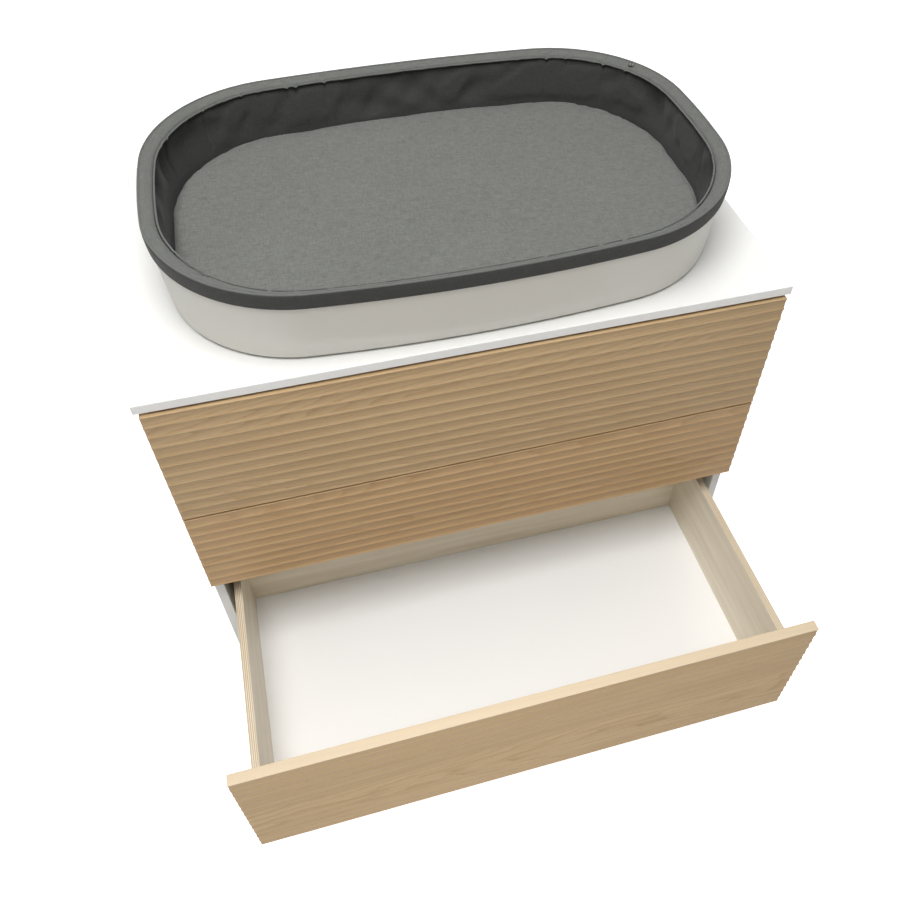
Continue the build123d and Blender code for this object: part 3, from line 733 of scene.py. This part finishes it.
def makeLiner():
    top = tray["height"]
    hem = top - liner["band"]
    rows = []
    slots = []

    def lay(points, slot):
        rows.append(points)
        slots.append(slot)

    lay(ringPoints(bandHalf(hem), hem + 0.0012, -0.0022), 0)
    lay(ringPoints(bandHalf(hem), hem + 0.0001, -0.0014), 0)
    lay(ringPoints(bandHalf(hem), hem + 0.0003, -0.0004), 0)
    lay(ringPoints(bandHalf(hem), hem + 0.0014), 0)
    for i in range(1, 9):
        height = hem + 0.0014 + (liner["band"] - 0.0044) * i / 8
        bulge = 0.0006 * math.sin(math.pi * i / 8) - 0.0002
        lay(ringPoints(bandHalf(height), height, bulge), 0)
    lay(rimRing(0.0010, top - 0.0022), 1)
    lay(rimRing(0.0026, top - 0.0017), 1)
    lay(rimRing(0.0038, top - 0.0009), 1)
    for i in range(1, 9):
        share = i / 8
        crown = 0.0006 * math.sin(math.pi * share)
        lay(rimRing(0.0038 + 0.0155 * share, top - 0.0009 + crown, share ** 1.5, 0.0013 * share), 1)
    lay(rimRing(0.0202, top - 0.0020, 1.0, 0.0005), 1)
    lay(rimRing(0.0205, top - 0.0045, 1.0), 2)
    lay(rimRing(0.0224, top - 0.0045, 1.0), 2)
    for i in range(liner["wallRows"] + 1):
        lay(wallRing(i / liner["wallRows"]), 2)
    hemHalf = liner["wellLow"] - Vector((1, 1)) * liner["hem"]
    lay(ringPoints(hemHalf, liner["wellFloor"] + 0.0003, 0, False), 2)
    lay(ringPoints(hemHalf, liner["wellFloor"] + 0.0001, 0, False), 2)
    lay(ringPoints(shellHalf(liner["wellFloor"], tray["wall"] + 0.0003), liner["wellFloor"]), 2)
    for i in range(1, 4):
        height = liner["wellFloor"] + (top - 0.006 - liner["wellFloor"]) * i / 3
        lay(ringPoints(shellHalf(height, tray["wall"] + 0.0003), height), 2)
    lay(ringPoints(shellHalf(top - tray["cover"], tray["wall"]), top - tray["cover"] + 0.0003), 2)
    lay(ringPoints(shellHalf(top - tray["cover"]), top - tray["cover"] + 0.0003), 0)
    piece = ringMesh("liner_cover", rows, True, slots)
    facingOut(piece)
    for key in ("band", "rim", "wall"):
        piece.data.materials.append(finish[key])
    return piece


def sewingTree():
    # stitches that follow a seam
    tree, given = geometryTree("stitches", [
        ("Spacing", "Float", 0.004), ("Length", "Float", 0.003), ("Thickness", "Float", 0.0006),
        ("Material", "Material", None)])
    seam = add(tree, "GeometryNodeMeshToCurve", {"Mesh": given["Geometry"]})
    spots = add(tree, "GeometryNodeCurveToPoints", {"Curve": seam.outputs[0], "Length": given["Spacing"]},
                mode="LENGTH")
    ball = add(tree, "GeometryNodeMeshUVSphere", {"Segments": 6, "Rings": 4, "Radius": 0.5})
    size = add(tree, "ShaderNodeCombineXYZ", {0: given["Thickness"], 1: given["Thickness"],
                                              2: given["Length"]})
    slant = add(tree, "FunctionNodeRandomValue",
                {"Min": (-0.1, -0.1, -0.1), "Max": (0.1, 0.1, 0.1), "Seed": 4}, data_type="FLOAT_VECTOR")
    turned = add(tree, "FunctionNodeRotateRotation", {0: spots.outputs["Rotation"], 1: slant.outputs[0]})
    laid = add(tree, "GeometryNodeInstanceOnPoints", {
        "Points": spots.outputs["Points"], "Instance": ball.outputs["Mesh"],
        "Rotation": turned.outputs[0], "Scale": size.outputs[0]})
    endTree(tree, laid.outputs[0], given["Material"])
    return tree


def cordTree():
    # a covered cord, or welt, that follows a seam and is a little uneven
    tree, given = geometryTree("welt", [
        ("Radius", "Float", 0.0016), ("Uneven", "Float", 0.15), ("Material", "Material", None)])
    seam = add(tree, "GeometryNodeMeshToCurve", {"Mesh": given["Geometry"]})
    wander = add(tree, "ShaderNodeTexNoise", {"Scale": 70.0, "Detail": 2.0})
    change = add(tree, "ShaderNodeMapRange", {0: wander.outputs[0], 3: -1.0, 4: 1.0})
    size = calc(tree, "ADD", 1.0, calc(tree, "MULTIPLY", change.outputs[0], given["Uneven"]))
    ring = add(tree, "GeometryNodeCurvePrimitiveCircle", {"Resolution": 10, "Radius": given["Radius"]})
    swept = add(tree, "GeometryNodeCurveToMesh", {"Curve": seam.outputs[0],
                                                  "Profile Curve": ring.outputs[0], "Scale": size})
    smooth = add(tree, "GeometryNodeSetShadeSmooth", {0: swept.outputs[0]})
    endTree(tree, smooth.outputs[0], given["Material"])
    return tree


def loopOf(points, name="path"):
    count = len(points)
    return meshObject(name, points, [(i, (i + 1) % count) for i in range(count)], [])


def joined(pieces, name):
    # several meshes as one piece, each keeping its own finish
    work = bmesh.new()
    finishes = []
    for piece in pieces:
        start = len(finishes)
        finishes.extend(piece.data.materials)
        before = len(work.faces)
        work.from_mesh(piece.data)
        work.faces.ensure_lookup_table()
        for face in work.faces[before:]:
            face.material_index += start
        bpy.data.objects.remove(piece)
    mesh = bpy.data.meshes.new(name)
    work.to_mesh(mesh)
    work.free()
    for material in finishes:
        mesh.materials.append(material)
    piece = bpy.data.objects.new(name, mesh)
    bpy.context.scene.collection.objects.link(piece)
    return piece


sewing = {"Spacing": 0.0042, "Length": 0.0032, "Thickness": 0.0006}
welts = {"outer": 0.0015, "inner": 0.0014}
cover = makeLiner()
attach(cover, "tray")
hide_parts("tray_liner")
stitchTree = sewingTree()
weltTree = cordTree()
rimTop = tray["height"]
outerWelt = grow(loopOf(rimRing(0.0021, rimTop - 0.0012)), weltTree,
                 {"Radius": welts["outer"], "Material": finish["rim"]}, "outer")
innerWelt = grow(loopOf(rimRing(0.0236, rimTop - 0.0024, 1.0, 0.0008)), weltTree,
                 {"Radius": welts["inner"], "Material": finish["rim"]}, "inner")
welt = joined([outerWelt, innerWelt], "rim_welts")
facingOut(welt)
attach(welt, "tray")
seams = []
for inset, height, share in ((0.0050, rimTop - 0.0004, 0.03), (0.0184, rimTop - 0.0006, 0.94)):
    seams.append(grow(loopOf(rimRing(inset, height, share)), stitchTree,
                      {**sewing, "Material": finish["thread"]}, "seam"))
seams.append(grow(loopOf(ringPoints(bandHalf(rimTop - 0.0215), rimTop - 0.0195, 0.0002)), stitchTree,
                  {**sewing, "Material": finish["thread"]}, "seam"))
stitches = joined(seams, "rim_stitches")
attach(stitches, "tray")
teeth = grow(loopOf(rimRing(0.0215, rimTop - 0.0040, 1.0)), stitchTree,
             {"Spacing": 0.0024, "Length": 0.0013, "Thickness": 0.0013, "Material": finish["zipTeeth"]},
             "zip_coil")
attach(teeth, "tray")
print("tray liner made")


# Zip pull: a flat rounded tab with a hole, on a small slider

zipPull = {"length": 0.0125, "width": 0.0042, "thick": 0.0011, "hole": 0.0012, "turn": -57.0,
           "lift": 0.0036, "slider": (0.0062, 0.0048, 0.0034), "points": 32}


def makeZipPull():
    low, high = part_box("zip_pull")
    middle = (low + high) / 2
    count = zipPull["points"]
    radius = zipPull["width"] / 2
    straight = zipPull["length"] / 2 - radius
    outer = []
    inner = []
    for i in range(count):
        angle = 2 * math.pi * (i + 0.5) / count
        way = Vector((math.cos(angle), math.sin(angle), 0))
        outer.append(way * radius + Vector((math.copysign(straight, way.x), 0, 0)))
        inner.append(way * zipPull["hole"] + Vector((straight * 0.9, 0, 0)))
    faces = [(i, (i + 1) % count, count + (i + 1) % count, count + i) for i in range(count)]
    tab = meshObject("tab", outer + inner, [], faces)
    solid = tab.modifiers.new("thick", "SOLIDIFY")
    solid.thickness = zipPull["thick"]
    edge = tab.modifiers.new("edge", "BEVEL")
    edge.width = zipPull["thick"] * 0.3
    edge.segments = 2
    edge.limit_method = "ANGLE"
    tab = plainMesh(tab, "tab")
    work = bmesh.new()
    size = Matrix.Diagonal((*zipPull["slider"], 1))
    under = Matrix.Translation((-straight * 0.8, 0, -zipPull["slider"][2] * 0.7))
    bmesh.ops.create_cube(work, size=1.0, matrix=under @ size)
    bmesh.ops.bevel(work, geom=list(work.edges), offset=0.0006, segments=3, affect="EDGES", profile=0.5)
    mesh = bpy.data.meshes.new("slider")
    work.to_mesh(mesh)
    work.free()
    slider = bpy.data.objects.new("slider", mesh)
    bpy.context.scene.collection.objects.link(slider)
    mesh.materials.append(finish["nickel"])
    tab.data.materials.append(finish["nickel"])
    piece = joined([tab, slider], "zip_slider")
    facingOut(piece)
    place = Matrix.Translation(middle + Vector((0, 0, zipPull["lift"])))
    piece.data.transform(place @ Matrix.Rotation(math.radians(zipPull["turn"]), 4, "Z"))
    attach(piece, "tray")
    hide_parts("zip_pull")


makeZipPull()
print("zip pull made")


# Mattress: a padded oval that fills the tray

pad = {
    "low": Vector((0.413, 0.262)),
    "high": Vector((0.414, 0.2675)),
    "top": 0.059,
    "bottom": 0.0085,
    "round": 0.010,
    "shrink": 0.0012,       # starts smaller, because it swells
    "voxel": 0.006,
    "pressure": 3.0,
    "cap": 0.0032,          # the furthest that any point may move
    "frames": 20,
    "quality": 5,
    "stiffness": 25,
    "bending": 2.0,
    "shrinkMin": -0.02,
    "upper": 0.035,         # the unevenness below starts at this height
    "soft": 0.0009,
    "crease": 0.0004,
    "slack": 0.0015,        # the most that the top may stand proud
}


def padRows(shrink):
    rows = []
    thick = pad["top"] - pad["bottom"] - 2 * shrink
    small = Vector((shrink, shrink))
    for inner in (0.03, 0.25, 0.5, 0.7, 0.85, 0.94):
        rows.append(ringPoints((pad["low"] - small) * inner, pad["bottom"] + shrink, 0, False))
    profile = []
    for i in range(5):
        angle = math.radians(90 * i / 4)
        profile.append((pad["round"] * (1 - math.sin(angle)), pad["round"] * (1 - math.cos(angle))))
    for i in range(1, 6):
        profile.append((0.0, pad["round"] + (thick - 2 * pad["round"]) * i / 6))
    for i in range(5):
        angle = math.radians(90 * i / 4)
        profile.append((pad["round"] * (1 - math.cos(angle)), thick - pad["round"] * (1 - math.sin(angle))))
    for inset, rise in profile:
        share = rise / thick
        half = pad["low"] + (pad["high"] - pad["low"]) * share - Vector((1, 1)) * (inset + shrink)
        rows.append(ringPoints(half, pad["bottom"] + shrink + rise, 0, False))
    for inner in (0.94, 0.85, 0.7, 0.5, 0.25, 0.03):
        rows.append(ringPoints((pad["high"] - small) * inner, pad["top"] - shrink, 0, False))
    return rows


def closedPad(name, shrink):
    rows = padRows(shrink)
    piece = ringMesh(name, rows, False)
    work = bmesh.new()
    work.from_mesh(piece.data)
    bmesh.ops.holes_fill(work, edges=[e for e in work.edges if e.is_boundary], sides=0)
    bmesh.ops.recalc_face_normals(work, faces=work.faces)
    work.to_mesh(piece.data)
    work.free()
    return piece


def simulateCloth(piece):
    # the cover swells under pressure for a few frames, with no gravity
    remesh = piece.modifiers.new("remesh", "REMESH")
    remesh.mode = "VOXEL"
    remesh.voxel_size = pad["voxel"]
    piece = plainMesh(piece, "mattress_start")
    start = [v.co.copy() for v in piece.data.vertices]
    cloth = piece.modifiers.new("cloth", "CLOTH")
    settings = cloth.settings
    settings.quality = pad["quality"]
    settings.use_pressure = True
    settings.uniform_pressure_force = pad["pressure"]
    settings.effector_weights.gravity = 0.0
    settings.tension_stiffness = pad["stiffness"]
    settings.compression_stiffness = pad["stiffness"]
    settings.bending_stiffness = pad["bending"]
    settings.shrink_min = pad["shrinkMin"]
    scene = bpy.context.scene
    cloth.point_cache.frame_start = 1
    cloth.point_cache.frame_end = pad["frames"]
    for number in range(1, pad["frames"] + 1):
        scene.frame_set(number)
        piece.evaluated_get(bpy.context.evaluated_depsgraph_get())
    done = plainMesh(piece, "mattress_done")
    for vertex, place in zip(done.data.vertices, start):
        move = vertex.co - place
        if move.length > pad["cap"]:
            vertex.co = place + move.normalized() * pad["cap"]
    scene.frame_set(1)
    return done


def makeMattress():
    piece = closedPad("mattress_start", pad["shrink"])
    piece = simulateCloth(piece)
    subdivision = piece.modifiers.new("smooth", "SUBSURF")
    subdivision.levels = 1
    subdivision.render_levels = 1
    piece = plainMesh(piece, "mattress_pad")
    mesh = piece.data
    topLimit = worktop + pad["top"] + pad["slack"]
    for vertex in mesh.vertices:
        x, y, z = vertex.co
        if z > worktop + pad["upper"]:
            soft = noise.noise(Vector((x * 9, y * 16, 1.0))) * pad["soft"]
            crease = noise.noise(Vector((x * 20 + y * 18, y * 46 - x * 12, 5.0))) * pad["crease"]
            vertex.co.z = min(topLimit, z + soft + crease)
    mesh.shade_smooth()
    mesh.materials.clear()
    mesh.materials.append(finish["mattress"])
    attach(piece, "mattress")
    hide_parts("mattress")


makeMattress()
print("mattress made")


# Light, floor and camera

studio = {
    "sky": 0.14,
    "overhead": {"place": (-0.40, -0.80, 3.4), "aim": (0.0, 0.0, 0.6), "size": 1.7, "power": 96.0},
    "back": {"place": (0.1, 1.3, 3.4), "aim": (0.0, 0.2, 0.8), "size": 2.4, "power": 26.0},
    "front": {"place": (-0.3, -2.9, 1.15), "aim": (0.0, 0.0, 0.30), "size": 1.4, "power": 6.0},
    "floorGlow": 0.12,
    "floorSeen": 0.75,      # how much whiter the floor looks than it lights
    "span": 14.0,           # half the floor's width
}
cameraView = {
    "place": (-0.2462, -1.0079, 1.7330),
    "tilt": 41.83,          # degrees up from looking straight down
    "turn": -16.34,         # degrees round, towards the right
    "roll": 1.01,
    "lens": 35.18,          # on a 36 mm sensor
    "shift": (-0.0485, -0.0335),
}


def softLight(name, place, aim, size, power):
    data = bpy.data.lights.new(name, "AREA")
    data.shape = "SQUARE"
    data.size = size
    data.energy = power
    lamp = bpy.data.objects.new(name, data)
    bpy.context.scene.collection.objects.link(lamp)
    lamp.location = place
    lamp.rotation_euler = (Vector(aim) - Vector(place)).to_track_quat("-Z", "Y").to_euler()


def makeStudio():
    scene = bpy.context.scene
    world = bpy.data.worlds.new("studio")
    world.use_nodes = True
    world.node_tree.nodes["Background"].inputs[0].default_value = (1.0, 1.0, 1.0, 1.0)
    world.node_tree.nodes["Background"].inputs[1].default_value = studio["sky"]
    scene.world = world
    softLight("overhead", **studio["overhead"])
    softLight("back", **studio["back"])
    softLight("front", **studio["front"])
    span = studio["span"]
    floor = meshObject("floor", [(-span, -span, 0), (span, -span, 0), (span, span, 0), (-span, span, 0)],
                       [], [(0, 1, 2, 3)])
    material, tree, shader = startMaterial("pale floor", 0.6)
    shader.inputs["Base Color"].default_value = (0.9, 0.9, 0.9, 1)
    shader.inputs["Emission Color"].default_value = (1, 1, 1, 1)
    seen = add(tree, "ShaderNodeLightPath").outputs["Is Camera Ray"]
    glow = calc(tree, "ADD", calc(tree, "MULTIPLY", seen, studio["floorSeen"]), studio["floorGlow"])
    tree.links.new(glow, shader.inputs["Emission Strength"])
    shader.inputs["Specular IOR Level"].default_value = 0.1
    floor.data.materials.append(material)
    scene.view_settings.view_transform = "Standard"


def makeCamera():
    data = bpy.data.cameras.new("camera")
    data.lens = cameraView["lens"]
    data.sensor_width = 36.0
    data.shift_x, data.shift_y = cameraView["shift"]
    camera = bpy.data.objects.new("camera", data)
    bpy.context.scene.collection.objects.link(camera)
    turn = Matrix.Rotation(math.radians(cameraView["turn"]), 4, "Z")
    tilt = Matrix.Rotation(math.radians(cameraView["tilt"]), 4, "X")
    roll = Matrix.Rotation(math.radians(cameraView["roll"]), 4, "Z")
    camera.matrix_world = Matrix.Translation(cameraView["place"]) @ turn @ tilt @ roll
    bpy.context.scene.camera = camera


makeStudio()
makeCamera()
print("studio and camera set")
